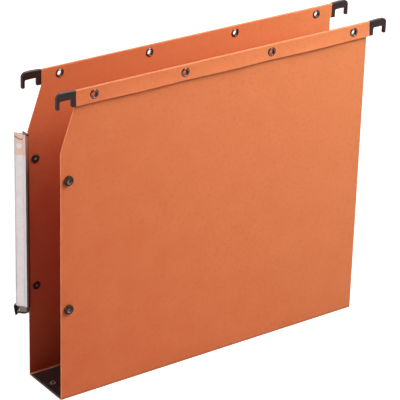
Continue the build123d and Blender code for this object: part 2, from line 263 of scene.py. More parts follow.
def card_rubbing_and_highlight(tree, tone, place, fibre, cut):
    """Tone with paler cut edges, rubbed along the open edges, and rubbed pale along the hem's fold as wear
    and as a painted highlight.
    """
    tone = tinted(tree, tone, CARD_CUT, cut, CUT_SHARE)
    fold = ranged(tree, place["Z"], *FOLD_WEAR_AND_HIGHLIGHT)
    edge = ranged(tree, from_open_edge(tree, place), *RUBBED_EDGE)
    patches = ranged(tree, fibre["Mottle"], *RUBBED_PATCHES)
    return tinted(tree, tone, CARD_CUT, maths(tree, "MAXIMUM", fold, edge), patches)


INNER_FACE = (-0.020, -0.010, 1.0, 0.0)
# Painted bounce light low down, and painted shade towards the slanted corner and at the foot, on the inner
# faces
BOUNCE_TINT_UP = (0.150, 0.280, 0.5, 0.0)
CORNER_SHADE_ACROSS = (-PANEL_HALF, PANEL_HALF, 0.62, 0.0)
CORNER_SHADE_UP = (0.235, 0.270)
INSIDE_FOOT_SHADE = (0.020, 0.110, 0.45, 0.0)


def card_inside_bounce_and_shade(tree, tone, place, inside):
    """Tone of the inner faces: painted bounce light reddens them low down, and painted shade deepens them at
    the foot and up towards the slanted corner.
    """
    tone = tinted(tree, tone, CARD_INNER_BOUNCE, ranged(tree, place["Z"], *BOUNCE_TINT_UP), inside)
    across = ranged(tree, place["X"], *CORNER_SHADE_ACROSS)
    corner = maths(tree, "MULTIPLY", across, ranged(tree, place["Z"], *CORNER_SHADE_UP))
    inside_shade = maths(tree, "MAXIMUM", corner, ranged(tree, place["Z"], *INSIDE_FOOT_SHADE))
    return tinted(tree, tone, CARD_DEEP, inside_shade, inside)


OUTER_FACE = (0.010, 0.020)
# The painted shadow line lies just below the flap's edge
GAP_SHADOW_BELOW = (FLAP_BOTTOM - 0.0026, FLAP_BOTTOM - 0.0016)
GAP_SHADOW_END = (FLAP_BOTTOM, FLAP_BOTTOM + 0.0001, 0.6, 0.0)
PAINTED_CREASE_SHADE = (0.0010, 0.0022, 0.33, 0.0)
FAR_EDGE_SHADE = (0.0006, 0.0016, 0.24, 0.0)
FOOT_CUT_SHADE = (0.0005, 0.0007, 1.0, 0.0)


def card_outside_shade(tree, tone, place, outside, cut):
    """Tone with painted shade: a painted shadow line under the flap, painted shade on the bottom crease and
    the far edge, and on the cut ends at the foot.
    """
    gap_shadow = maths(tree, "MULTIPLY", ranged(tree, place["Z"], *GAP_SHADOW_BELOW), ranged(tree, place["Z"], *GAP_SHADOW_END))
    tone = tinted(tree, tone, CARD_GAP_SHADOW, gap_shadow, outside)
    # Painted shade along the bottom crease
    tone = tinted(tree, tone, CARD_CREASE_SHADE, ranged(tree, place["Z"], *PAINTED_CREASE_SHADE), outside)
    # Painted shade along the far edge
    from_far_edge = maths(tree, "SUBTRACT", PANEL_HALF, place["X"])
    tone = tinted(tree, tone, CARD_EDGE_SHADE, ranged(tree, from_far_edge, *FAR_EDGE_SHADE), outside)
    # Painted shade on the cut ends at the foot
    return tinted(tree, tone, CARD_FOOT_CUT_SHADE, ranged(tree, place["Z"], *FOOT_CUT_SHADE), cut)


CREASE_PATCHES = (*NOISE_CORE, 0.7, 1.0)
CARD_ROUGHNESS = (*NOISE_SPAN, 0.62, 0.78)
CARD_BUMP = 0.35
CARD_BUMP_HEIGHT = 0.00012
CARD_GLOSS = 0.35


def card_material(name, crease):
    """Orange kraft card, worn, with painted sheen and painted shade outside, painted bounce light and painted
    shade inside, and pale where it is creased.
    """
    material, tree, shader = new_material(name)
    coords = tree.nodes.new("ShaderNodeTexCoord").outputs
    place = add(tree, "ShaderNodeSeparateXYZ", {0: coords["Object"]}).outputs
    facing = add(tree, "ShaderNodeSeparateXYZ", {0: coords["Normal"]}).outputs
    fibre = add(tree, "ShaderNodeGroup", {"Place": coords["Object"]}, node_tree=paper_fibre).outputs
    cut = ranged(tree, maths(tree, "ABSOLUTE", facing["X"]), *CUT_FACING)
    # Positive where a face looks away from the folder's middle, negative where it looks inwards
    outward = maths(tree, "MULTIPLY", facing["Y"], place["Y"])
    tone = card_dye_and_sheen(tree, place, fibre)
    tone = card_rubbing_and_highlight(tree, tone, place, fibre, cut)
    tone = card_inside_bounce_and_shade(tree, tone, place, ranged(tree, outward, *INNER_FACE))
    tone = card_outside_shade(tree, tone, place, ranged(tree, outward, *OUTER_FACE), cut)
    if crease:
        tone = tinted(tree, tone, CARD_CREASE, ranged(tree, fibre["Mottle"], *CREASE_PATCHES))
    rough = ranged(tree, fibre["Mottle"], *CARD_ROUGHNESS)
    relief = {"Strength": CARD_BUMP, "Distance": CARD_BUMP_HEIGHT, "Height": fibre["Height"]}
    bump = add(tree, "ShaderNodeBump", relief).outputs[0]
    wire(tree, shader, Base_Color=tone, Roughness=rough, Normal=bump)
    shader.inputs["Specular IOR Level"].default_value = CARD_GLOSS
    return material


def finish_nodes(material, *names):
    """Give a material to CAD nodes that stay as they are."""
    for name in names:
        nodes[name].data.materials.clear()
        nodes[name].data.materials.append(material)


def new_piece(name, mesh, material):
    """Object at the origin that shows a finished mesh in one material."""
    mesh.materials.clear()
    mesh.materials.append(material)
    piece = bpy.data.objects.new(name, mesh)
    bpy.context.scene.collection.objects.link(piece)
    return piece


def add_skin(shape, near, far):
    """Band of quads between two closed rings of as many points."""
    for i in range(len(near)):
        j = (i + 1) % len(near)
        shape.faces.new((near[i], near[j], far[j], far[i]))


def add_prism(shape, near, far):
    """Closed block between two closed rings of as many points."""
    add_skin(shape, near, far)
    for end in (near, far):
        shape.faces.new(end)


def finished_mesh(name, shape):
    """Mesh of a closed shape, with its faces turned outwards."""
    bmesh.ops.recalc_face_normals(shape, faces=shape.faces)
    mesh = bpy.data.meshes.new(name)
    shape.to_mesh(mesh)
    shape.free()
    return mesh


def crease_cove(name, side, material):
    """Rounded inner corner of a crease, from the base up to the panel on one side."""
    panel_face = PANEL_INNER + COVE_BITE
    base_face = CARD_THICKNESS - COVE_BITE
    profile = [(panel_face, base_face)]
    for step in range(COVE_STEPS + 1):
        angle = pi / 2 * step / COVE_STEPS
        y = panel_face - CREASE_COVE * (1 - cos(angle))
        z = base_face + CREASE_COVE * (1 - sin(angle))
        profile.append((y, z))
    shape = bmesh.new()
    ends = [[shape.verts.new((x, side * y, z)) for y, z in profile] for x in (-PANEL_HALF, PANEL_HALF)]
    add_prism(shape, *ends)
    return new_piece(name, finished_mesh(name, shape), material)


def flap_standoff(x, z):
    """How far the flap stands off its rail: most at its cut edge, midway between two eyelets."""
    down = max((FOLD_HEIGHT - z) / (FOLD_HEIGHT - FLAP_BOTTOM), 0.0)
    between = abs(sin(pi * (x - EYELET_FIRST) / EYELET_PITCH))
    return (FLAP_STANDOFF + FLAP_BOW * between) * down**2


def panel_with_flap(name, node, side, material):
    """Panel with its solid's shape, cut into strips so that the hem's flap can stand off."""
    shape = bmesh.new()
    shape.from_mesh(node.data)
    shape.transform(node.matrix_world)
    bmesh.ops.remove_doubles(shape, verts=shape.verts, dist=MERGE_DISTANCE)
    strip = (HEM_RIGHT - HEM_LEFT) / FLAP_STRIPS
    row = (FOLD_HEIGHT - FLAP_BOTTOM) / FLAP_ROWS
    cuts = [((HEM_LEFT + strip * i, 0, 0), (1, 0, 0)) for i in range(1, FLAP_STRIPS)]
    cuts += [((0, 0, FLAP_BOTTOM + row * i), (0, 0, 1)) for i in range(1, FLAP_ROWS)]
    on_flap = FLAP_INNER - FLAP_MARGIN
    for place, normal in cuts:
        flap = [face for face in shape.faces if all(side * vert.co.y > on_flap for vert in face.verts)]
        edges = {edge for face in flap for edge in face.edges}
        verts = {vert for face in flap for vert in face.verts}
        bmesh.ops.bisect_plane(
            shape, geom=[*verts, *edges, *flap], dist=SNAP_DISTANCE, plane_co=place, plane_no=normal
        )
    for vert in shape.verts:
        if side * vert.co.y > on_flap:
            vert.co.y += side * flap_standoff(vert.co.x, vert.co.z)
    bmesh.ops.dissolve_degenerate(shape, dist=MERGE_DISTANCE, edges=shape.edges)
    mesh = bpy.data.meshes.new(name)
    shape.to_mesh(mesh)
    shape.free()
    if "custom_normal" in mesh.attributes:
        mesh.attributes.remove(mesh.attributes["custom_normal"])
    mesh.polygons.foreach_set("use_smooth", [True] * len(mesh.polygons))
    mesh.set_sharp_from_angle(angle=SHARP_ANGLE)
    return new_piece(name, mesh, material)


orange_card = card_material("orange_card", crease=False)
creased_card = card_material("creased_card", crease=True)
finish_nodes(orange_card, "base_card")
for body, side in (("front", -1), ("rear", 1)):
    panel = panel_with_flap(f"{body}_panel_card", nodes[f"{body}_panel"], side, orange_card)
    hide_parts(f"{body}_panel")
    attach(panel, body)
    cove = crease_cove(f"{body}_crease_cove", side, creased_card)
    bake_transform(cove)


# Base stiffener
# A plain plate of glossy black plastic sheet lies on the base card and keeps it flat.
# It is held by a rivet near each end, and light scuffs run along it from the files that stand on it.
BLACK_SHEET = (0.036, 0.020, 0.020, 1)
BLACK_SHEET_DUST = (0.085, 0.058, 0.056, 1)
SHEET_SKIN = {"roughness": 0.30, "grain": 900.0, "scuff": 60.0, "bump": 0.00004}
SCUFF_STRETCH = (1.0, 1.0, 6.0)
SCUFF_TURN = (0.3, 0.5, 0.2)
SCUFF_SPAN = (0.55, 0.75)
SCUFF_DUST = 0.6
SCUFF_ROUGHNESS = 0.15
GRAIN_ROUGHNESS = 0.06
GRAIN_BUMP = 0.3
PALE_PATCHES = (0.25, 0.60, 0.35, 0.90)


def moulded_skin_group():
    """Skin of black plastic and lacquer: fine grain and light scuffs."""
    group, given, out = shader_group(
        "moulded_skin", {"Place": None, "Grain scale": 1800.0, "Scuff scale": 90.0}, ("Grain", "Scuff")
    )
    grain = noise(group, given["Place"], given["Grain scale"], detail=2.0)["Fac"]
    drawing = {"Vector": given["Place"], "Scale": SCUFF_STRETCH, "Rotation": SCUFF_TURN}
    drawn = add(group, "ShaderNodeMapping", drawing).outputs[0]
    scuff = noise(group, drawn, given["Scuff scale"], detail=6.0, roughness=0.7)["Fac"]
    wire(group, out, Grain=grain, Scuff=ranged(group, scuff, *SCUFF_SPAN))
    return group


moulded_skin = moulded_skin_group()


def wear_and_sheen_patches(tree, tone, grain, attribute, inner, outer, soft, pale_colour):
    """Tone that gives way in patches to a pale colour, of wear and painted sheen, where an attribute lies
    from inner to outer.
    """
    mark = add(tree, "ShaderNodeAttribute", attribute_name=attribute).outputs["Fac"]
    from_inner = ranged(tree, mark, inner - soft, inner)
    to_outer = ranged(tree, mark, outer, outer + soft, 1.0, 0.0)
    return tinted(tree, tone, pale_colour, from_inner, to_outer, ranged(tree, grain, *PALE_PATCHES))


def black_material(name, colour, dust, roughness, grain, scuff, bump, wear_and_sheen=None, bands=(), gloss=0.5):
    """Black plastic or lacquer: dusty on scuffs, with bands of colour by height that paint light and shade,
    and pale places of wear and painted sheen.
    """
    material, tree, shader = new_material(name)
    place = tree.nodes.new("ShaderNodeTexCoord").outputs["Object"]
    scales = {"Place": place, "Grain scale": grain, "Scuff scale": scuff}
    skin = add(tree, "ShaderNodeGroup", scales, node_tree=moulded_skin).outputs
    tone = tinted(tree, colour, dust, skin["Scuff"], SCUFF_DUST)
    height = add(tree, "ShaderNodeSeparateXYZ", {0: place}).outputs["Z"]
    for band, band_colour in bands:
        tone = tinted(tree, tone, band_colour, ranged(tree, height, *band))
    if wear_and_sheen:
        tone = wear_and_sheen_patches(tree, tone, skin["Grain"], **wear_and_sheen)
    smoothest, roughest = roughness - GRAIN_ROUGHNESS, roughness + GRAIN_ROUGHNESS
    grained = ranged(tree, skin["Grain"], *NOISE_SPAN, smoothest, roughest)
    scuffed = maths(tree, "MULTIPLY", skin["Scuff"], SCUFF_ROUGHNESS)
    relief = {"Strength": GRAIN_BUMP, "Distance": bump, "Height": skin["Grain"]}
    normal = add(tree, "ShaderNodeBump", relief).outputs[0]
    wire(tree, shader, Base_Color=tone, Roughness=maths(tree, "ADD", grained, scuffed), Normal=normal)
    shader.inputs["Specular IOR Level"].default_value = gloss
    return material


sheet_black = black_material("stiffener_sheet", BLACK_SHEET, BLACK_SHEET_DUST, **SHEET_SKIN)
finish_nodes(sheet_black, "base_stiffener")


# Base rivets
# A black lacquered rivet near each end goes through stiffener and card and is set flat underneath.
# Its head is a low crown with a shallow dimple from the setting tool, pale on the crest: worn a little,
# and partly a painted highlight.
# Its outline, as those of eyelets and studs, is written as radius and height in millimetres.
RIVET_OUTLINE = (
    (0.0, 0.0), (0.0, 2.15), (0.8, 2.2), (1.35, 2.42), (1.9, 2.5), (2.6, 2.4), (3.2, 2.1), (3.5, 1.85),
    (3.45, 1.7), (2.0, 1.7), (2.0, 0.25), (3.1, 0.25), (3.1, 0.0),
)
RIVET_EDGE = 0.00015
RIVET_FIRST = middle_of("base_left_rivet").x
RIVET_STEP = middle_of("base_right_rivet").x - RIVET_FIRST
# The pale crest is wear and partly a painted highlight
RIVET_CREST = (0.0014, 0.0024)
RIVET_BARE_AND_SHEEN = (0.290, 0.230, 0.220, 1)
RIVET_GLOSS = 0.9
LACQUER = (0.020, 0.010, 0.008, 1)
LACQUER_DUST = (0.055, 0.034, 0.028, 1)
LACQUER_SKIN = {"roughness": 0.24, "grain": 700.0, "scuff": 260.0, "bump": 0.00003}
LACQUER_SOFT = 0.0003
MILLIMETRE = 0.001
# The outline is swept round a small circle, so its axis lies one turning radius inside, and stays sharp
TURNING_RADIUS = 0.001
ON_AXIS = 0.99
TURNED_SEGMENTS = 40
EDGE_STEPS = 3
TURN_UP = (0.0, 0.0, 0.0)
TURN_FRONT = (pi / 2, 0.0, 0.0)
TURN_REAR = (-pi / 2, 0.0, 0.0)


def turned_row_tree():
    """Node tree that turns one outline round an axis, rounds its edges and repeats it in a row."""
    tree = bpy.data.node_groups.new("turned_row", "GeometryNodeTree")
    sockets = {}
    for name, kind in (
        ("Outline", "NodeSocketObject"),
        ("Edge radius", "NodeSocketFloat"),
        ("Segments", "NodeSocketInt"),
        ("Count", "NodeSocketInt"),
        ("First place", "NodeSocketVector"),
        ("Step", "NodeSocketVector"),
        ("Turn", "NodeSocketRotation"),
        ("Material", "NodeSocketMaterial"),
    ):
        sockets[name] = tree.interface.new_socket(name, in_out="INPUT", socket_type=kind).identifier
    tree.interface.new_socket("Geometry", in_out="OUTPUT", socket_type="NodeSocketGeometry")
    given = tree.nodes.new("NodeGroupInput").outputs
    out = tree.nodes.new("NodeGroupOutput")
    outline = add(tree, "GeometryNodeObjectInfo", {"Object": given["Outline"]})
    here = add(tree, "GeometryNodeInputPosition").outputs[0]
    across = add(tree, "ShaderNodeSeparateXYZ", {0: here})
    off_axis = add(
        tree,
        "FunctionNodeCompare",
        {0: across.outputs["X"], 1: -TURNING_RADIUS * ON_AXIS},
        operation="GREATER_THAN",
    )
    rounding = maths(tree, "MULTIPLY", off_axis.outputs[0], given["Edge radius"])
    soft = add(
        tree,
        "GeometryNodeFilletCurve",
        {
            "Curve": outline.outputs["Geometry"],
            "Count": EDGE_STEPS,
            "Radius": rounding,
            "Limit Radius": True,
        },
        mode="POLY",
    )
    path = add(
        tree,
        "GeometryNodeCurvePrimitiveCircle",
        {"Resolution": given["Segments"], "Radius": TURNING_RADIUS},
    )
    turned = add(
        tree, "GeometryNodeCurveToMesh", {"Curve": path.outputs[0], "Profile Curve": soft.outputs[0]}
    )
    closed = add(
        tree, "GeometryNodeMergeByDistance", {"Geometry": turned.outputs[0], "Distance": MERGE_DISTANCE}
    )
    flat = add(tree, "ShaderNodeVectorMath", {0: here, 1: (1.0, 1.0, 0.0)}, operation="MULTIPLY")
    radius = add(tree, "ShaderNodeVectorMath", {0: flat.outputs[0]}, operation="LENGTH")
    marked = add(
        tree,
        "GeometryNodeStoreNamedAttribute",
        {"Geometry": closed.outputs[0], "Name": "radius", "Value": radius.outputs["Value"]},
        data_type="FLOAT",
        domain="POINT",
    )
    smooth = add(tree, "GeometryNodeSetShadeSmooth", {"Geometry": marked.outputs[0], "Shade Smooth": True})
    row = add(
        tree,
        "GeometryNodeMeshLine",
        {"Count": given["Count"], "Start Location": given["First place"], "Offset": given["Step"]},
    )
    placed = add(
        tree,
        "GeometryNodeInstanceOnPoints",
        {"Points": row.outputs[0], "Instance": smooth.outputs[0], "Rotation": given["Turn"]},
    )
    real = add(tree, "GeometryNodeRealizeInstances", {"Geometry": placed.outputs[0]})
    done = add(tree, "GeometryNodeSetMaterial", {"Geometry": real.outputs[0], "Material": given["Material"]})
    tree.links.new(done.outputs[0], out.inputs[0])
    return tree, sockets


turned_row, turned_row_inputs = turned_row_tree()


def turned_pieces(name, outline, edge, count, first, step, turn, material):
    """One plain mesh of like turned pieces in a row."""
    curve = bpy.data.curves.new(f"{name}_outline", "CURVE")
    curve.dimensions = "3D"
    spline = curve.splines.new("POLY")
    spline.points.add(len(outline) - 1)
    for point, (radius, height) in zip(spline.points, outline):
        point.co = (radius * MILLIMETRE - TURNING_RADIUS, -height * MILLIMETRE, 0.0, 1.0)
    spline.use_cyclic_u = True
    drawing = bpy.data.objects.new(f"{name}_outline", curve)
    maker = bpy.data.objects.new(f"{name}_maker", bpy.data.meshes.new(f"{name}_maker"))
    for helper in (drawing, maker):
        bpy.context.scene.collection.objects.link(helper)
    modifier = maker.modifiers.new("turned_row", "NODES")
    modifier.node_group = turned_row
    for socket, value in (
        ("Outline", drawing),
        ("Edge radius", edge),
        ("Segments", TURNED_SEGMENTS),
        ("Count", count),
        ("First place", first),
        ("Step", step),
        ("Turn", turn),
        ("Material", material),
    ):
        modifier[turned_row_inputs[socket]] = value
    evaluated = maker.evaluated_get(bpy.context.evaluated_depsgraph_get())
    mesh = bpy.data.meshes.new_from_object(evaluated)
    mesh.name = name
    for helper in (maker, drawing):
        bpy.data.objects.remove(helper)
    return new_piece(name, mesh, material)


def wear_and_sheen_ring(inner, outer, pale_colour):
    """Pale ring of a turned piece's lacquer between two radii: wear, and partly a painted highlight."""
    return {"attribute": "radius", "inner": inner, "outer": outer, "soft": LACQUER_SOFT, "pale_colour": pale_colour}


rivet_black = black_material(
    "rivet_lacquer",
    LACQUER,
    LACQUER_DUST,
    **LACQUER_SKIN,
    wear_and_sheen=wear_and_sheen_ring(*RIVET_CREST, RIVET_BARE_AND_SHEEN),
    gloss=RIVET_GLOSS,
)
base_rivets = turned_pieces(
    "base_rivets",
    RIVET_OUTLINE,
    RIVET_EDGE,
    count=2,
    first=(RIVET_FIRST, 0.0, 0.0),
    step=(RIVET_STEP, 0.0, 0.0),
    turn=TURN_UP,
    material=rivet_black,
)
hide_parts("base_left_rivet", "base_right_rivet")
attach(base_rivets, "base")


# Rails
# A flat strip of bright steel runs inside each hem, and its narrow tongues carry the hooks.
# Only a thin line of it can be seen between hem and hook.
STEEL = (0.60, 0.60, 0.59, 1)
STEEL_DULL = (0.42, 0.42, 0.41, 1)
STEEL_ROUGHNESS = (*NOISE_SPAN, 0.28, 0.42)
BRUSH_STRETCH = (0.02, 1.0, 1.0)
BRUSH_SCALE = 3000.0


def steel_material():
    """Rolled steel strip, brushed along its length."""
    material, tree, shader = new_material("rail_steel")
    place = tree.nodes.new("ShaderNodeTexCoord").outputs["Object"]
    drawn = add(tree, "ShaderNodeMapping", {"Vector": place, "Scale": BRUSH_STRETCH}).outputs[0]
    brush = noise(tree, drawn, BRUSH_SCALE, detail=3.0)["Fac"]
    tone = mixed(tree, brush, STEEL_DULL, STEEL)
    wire(tree, shader, Base_Color=tone, Roughness=ranged(tree, brush, *STEEL_ROUGHNESS))
    shader.inputs["Metallic"].default_value = 1.0
    return material


finish_nodes(steel_material(), "front_rail", "rear_rail")


# Hooks
# Four black moulded hooks are pushed onto the rail's tongues and hang on the bars of the filing frame.
# They are satin plastic with a fine spark-eroded grain and rounded edges.
BLACK_HOOK = (0.028, 0.013, 0.011, 1)
BLACK_HOOK_DUST = (0.075, 0.054, 0.049, 1)
HOOK_SKIN = {"roughness": 0.36, "grain": 1600.0, "scuff": 110.0, "bump": 0.00008}
HOOK_GLOSS = 0.36

hook_black = black_material("hook_plastic", BLACK_HOOK, BLACK_HOOK_DUST, **HOOK_SKIN, gloss=HOOK_GLOSS)
finish_nodes(hook_black, "front_left_hook", "front_right_hook", "rear_left_hook", "rear_right_hook")


# Eyelets
# Nickel-plated brass eyelets clinch panel, rail and flap together, four in each hem.
# The outer flange is rolled over smooth, and the inner end is rolled back by the press.
# The plating is browned, partly as a painted reflection of the orange card, and darker in the bore and
# along the rim, as tarnish and as painted shade.
# Browned nickel, partly a painted reflection of the orange card
NICKEL = (0.34, 0.215, 0.185, 1)
NICKEL_TARNISH_AND_SHADE = (0.100, 0.045, 0.034, 1)
NICKEL_ROUGHNESS = (*NOISE_SPAN, 0.14, 0.28)
# Darker bore and rim: tarnish and painted shade
BORE_TARNISH_AND_SHADE = (0.0025, 0.0029, 1.0, 0.0)
RIM_TARNISH_AND_SHADE = (0.0035, 0.0039)
TARNISHED_PATCHES = (0.35, 0.70, 0.0, 0.25)
PRESS_MARK_SCALE = 1200.0
EYELET_HEIGHT = middle_of("rear_eyelet_1").z
EYELET_EDGE = 0.00012
EYELET_OUTLINE = (
    (2.3, 0.0), (2.3, 2.1), (2.4, 2.5), (2.75, 2.78), (3.35, 2.82), (3.95, 2.58), (4.35, 2.2), (4.3, 2.1),
    (2.7, 2.1), (2.7, 0.0), (4.0, 0.0), (4.05, -0.1), (3.75, -0.48), (3.2, -0.7), (2.65, -0.6), (2.36, -0.3),
)


def nickel_material():
    """Nickel plate, darker in the bore and along the rim by tarnish and painted shade, tarnished in patches,
    with fine press marks.
    """
    material, tree, shader = new_material("eyelet_nickel")
    place = tree.nodes.new("ShaderNodeTexCoord").outputs["Object"]
    marks = noise(tree, place, PRESS_MARK_SCALE, detail=3.0)["Fac"]
    radius = add(tree, "ShaderNodeAttribute", attribute_name="radius").outputs["Fac"]
    tarnish_and_shade = ranged(tree, marks, *TARNISHED_PATCHES)
    for band in (BORE_TARNISH_AND_SHADE, RIM_TARNISH_AND_SHADE):
        tarnish_and_shade = maths(tree, "MAXIMUM", tarnish_and_shade, ranged(tree, radius, *band))
    tone = mixed(tree, tarnish_and_shade, NICKEL, NICKEL_TARNISH_AND_SHADE)
    wire(tree, shader, Base_Color=tone, Roughness=ranged(tree, marks, *NICKEL_ROUGHNESS))
    shader.inputs["Metallic"].default_value = 1.0
    return material


eyelet_nickel = nickel_material()
for body, side, turn in (("front", -1, TURN_FRONT), ("rear", 1, TURN_REAR)):
    eyelets = turned_pieces(
        f"{body}_eyelets",
        EYELET_OUTLINE,
        EYELET_EDGE,
        count=EYELET_COUNT,
        first=(EYELET_FIRST, side * PANEL_INNER, EYELET_HEIGHT),
        step=(EYELET_PITCH, 0.0, 0.0),
        turn=turn,
        material=eyelet_nickel,
    )
    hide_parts(*[f"{body}_eyelet_{number}" for number in range(1, EYELET_COUNT + 1)])
    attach(eyelets, body)


# Press studs
# Black lacquered press studs on the open edge join one folder to the next: sockets on the front panel,
# pins on the rear panel. Each outer half is riveted through the card to a dished cap on the inside.
# The middles are pale: worn bare, and on the sockets and caps partly a painted highlight. The sockets'
# lacquer is tinted brown as a painted reflection of the orange card.
lower_socket = middle_of("front_lower_socket")
STUD_X = lower_socket.x
STUD_LOW = lower_socket.z
STUD_SPACING = middle_of("front_upper_socket").z - STUD_LOW
STUD_EDGE = 0.00012
PANEL_OUTER = PANEL_INNER + CARD_THICKNESS
SOCKET_OUTLINE = (
    (0.0, 0.0), (0.0, 0.95), (0.7, 0.9), (1.25, 0.62), (2.3, 0.6), (2.3, 1.45), (2.0, 1.65), (2.0, 1.95),
    (2.3, 2.15), (2.4, 2.5), (2.75, 2.65), (3.15, 2.6), (3.35, 2.42), (3.8, 2.3), (4.2, 1.95), (4.45, 1.4),
    (4.5, 0.9), (4.5, 0.1), (4.4, 0.0),
)
PIN_OUTLINE = (
    (0.0, 0.0), (0.0, 2.9), (1.2, 2.85), (1.8, 2.6), (2.1, 2.15), (2.0, 1.6), (1.85, 1.2), (2.2, 1.0),
    (3.4, 1.0), (3.9, 0.8), (4.2, 0.4), (4.2, 0.1), (4.1, 0.0),
)
STUD_CAP_OUTLINE = (
    (0.0, -0.6), (0.0, 0.78), (0.7, 0.74), (1.15, 0.6), (1.9, 0.58), (2.4, 0.78), (2.9, 1.0), (3.4, 0.95),
    (3.8, 0.6), (4.0, 0.2), (3.9, 0.0), (1.5, 0.0), (1.5, -0.6),
)
# Radii up to which the lacquer is pale: wear, and on sockets and caps partly a painted highlight
SOCKET_WEAR_AND_SHEEN = 0.0022
PIN_WORN = 0.0017
STUD_CAP_WEAR_AND_SHEEN = 0.0010
# Pale worn metal, partly a painted highlight
LACQUER_BARE_AND_SHEEN = (0.420, 0.370, 0.340, 1)
LACQUER_GLOSS = 0.5
# Painted reflection: the sockets' lacquer is tinted brown as if it mirrored the orange card
SOCKET_BROWN_REFLECTION = (0.052, 0.019, 0.011, 1)
SOCKET_GLOSS = 0.12


def press_studs(name, body, half, outline, face, turn, wear_and_sheen, colour=LACQUER, gloss=LACQUER_GLOSS):
    """Lower and upper half of one kind on one face of a panel, pale up to a radius: worn bare, partly a
    painted highlight.
    """
    lacquer = black_material(
        f"{name}_lacquer",
        colour,
        LACQUER_DUST,
        **LACQUER_SKIN,
        wear_and_sheen=wear_and_sheen_ring(0.0, wear_and_sheen, LACQUER_BARE_AND_SHEEN),
        gloss=gloss,
    )
    studs = turned_pieces(
        name,
        outline,
        STUD_EDGE,
        count=2,
        first=(STUD_X, face, STUD_LOW),
        step=(0.0, 0.0, STUD_SPACING),
        turn=turn,
        material=lacquer,
    )
    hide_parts(f"{body}_lower_{half}", f"{body}_upper_{half}")
    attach(studs, body)


press_studs(
    "front_sockets",
    "front",
    "socket",
    SOCKET_OUTLINE,
    -PANEL_OUTER,
    TURN_FRONT,
    SOCKET_WEAR_AND_SHEEN,
    colour=SOCKET_BROWN_REFLECTION,
    gloss=SOCKET_GLOSS,
)
press_studs("front_stud_caps", "front", "cap", STUD_CAP_OUTLINE, -PANEL_INNER, TURN_REAR, STUD_CAP_WEAR_AND_SHEEN)
press_studs("rear_studs", "rear", "stud", PIN_OUTLINE, PANEL_OUTER, TURN_REAR, PIN_WORN)
press_studs("rear_stud_caps", "rear", "cap", STUD_CAP_OUTLINE, PANEL_INNER, TURN_FRONT, STUD_CAP_WEAR_AND_SHEEN)


# Label clip
# A brown-black plastic extrusion is pushed onto the rear panel's open edge, which its channel grips.
# Its leg lies against the panel's outer face, and its slanted pad carries the sleeve.
# Painted light makes it paler towards its top, and painted shade darkens its cut end.
CLIP_BROWN = (0.085, 0.026, 0.018, 1)
CLIP_DUST = (0.130, 0.058, 0.046, 1)
# Painted light: the paler tone towards the top
CLIP_PAINTED_LIGHT = (0.460, 0.160, 0.095, 1)
CLIP_PAINTED_LIGHT_UP = (0.195, 0.232)
# Painted shade: the dark cut end on top
CLIP_END_SHADE = (0.020, 0.010, 0.009, 1)
CLIP_END_SHADE_UP = (0.2318, 0.2323)
CLIP_SKIN = {"roughness": 0.34, "grain": 1200.0, "scuff": 80.0, "bump": 0.00005}
CLIP_GLOSS = 0.35

clip_brown = black_material(
    "clip_plastic",
    CLIP_BROWN,
    CLIP_DUST,
    **CLIP_SKIN,
    bands=((CLIP_PAINTED_LIGHT_UP, CLIP_PAINTED_LIGHT), (CLIP_END_SHADE_UP, CLIP_END_SHADE)),
    gloss=CLIP_GLOSS,
)
finish_nodes(clip_brown, "label_clip")


# Label sleeve
# A flat tube of clear plastic is fixed to the clip's pad and shows the label to the open side. Its front
# wall is cut down in a scoop so that the label can be gripped. The thick near rib has a painted glow of
# gathered light, tinted peach at the label's head, the far wall is painted grey as shade, and the cut edge
# is painted dark as shade. Places across, out of and up the label are in millimetres.
SLEEVE_LOW = 68.0
SLEEVE_TOP = 233.6
SLEEVE_RIB = 2.15
SLEEVE_FAR = 9.8
SLEEVE_WIDTH = 10.3
SLEEVE_HALF = 0.9
SLOT_HALF = 0.4
CUT_BAND = 1.1
SCOOP = (
    (2.16, 233.6), (2.2, 231.2), (2.4, 229.9), (2.8, 229.0), (3.5, 228.6), (4.3, 228.5), (5.2, 228.7),
    (6.2, 229.1), (7.2, 229.6), (8.2, 230.2), (9.1, 230.8), (9.79, 231.3),
)
DIAGONAL = cos(radians(45))
LABEL_CORNER = Vector((-0.162106, 0.027606, 0.0))
ACROSS = Vector((-DIAGONAL, DIAGONAL, 0.0))
OUTWARD = Vector((-DIAGONAL, -DIAGONAL, 0.0))
LABEL_HEAD = 0.2134
CLEAR = (0.93, 0.94, 0.96, 1)
# Painted glow of gathered light in the near rib, peach at the label's head
CLEAR_RIB_GLOW = (0.93, 0.85, 0.85, 1)
CLEAR_RIB_HEAD_GLOW = (0.90, 0.62, 0.50, 1)
# Painted shade on the far wall
CLEAR_FAR_SHADE = (0.62, 0.58, 0.56, 1)
# Painted shade on the cut edge
CLEAR_CUT_SHADE = (0.34, 0.17, 0.12, 1)
RIB_ACROSS = (SLEEVE_RIB - 0.2, SLEEVE_RIB, 1.0, 0.0)
FAR_ACROSS = (SLEEVE_FAR - 0.1, SLEEVE_FAR)
HEAD_UP = (LABEL_HEAD - 0.001, LABEL_HEAD + 0.002, 0.0, 0.8)
CUT_SOFT = (0.15, 0.60)
HAZE_SCALE = 150.0
HAZE_OPACITY = (*NOISE_SPAN, 0.02, 0.05)
RIB_OPACITY = 0.85
FAR_OPACITY = 0.35
CUT_OPACITY = 0.62
CLEAR_ROUGHNESS = (*NOISE_SPAN, 0.04, 0.12)
CLEAR_IOR = 1.45


def along(tree, vector, direction, start=0.0):
    """Output that measures a vector along one direction."""
    dot = add(tree, "ShaderNodeVectorMath", {0: vector, 1: direction}, operation="DOT_PRODUCT")
    return maths(tree, "SUBTRACT", dot.outputs["Value"], start)


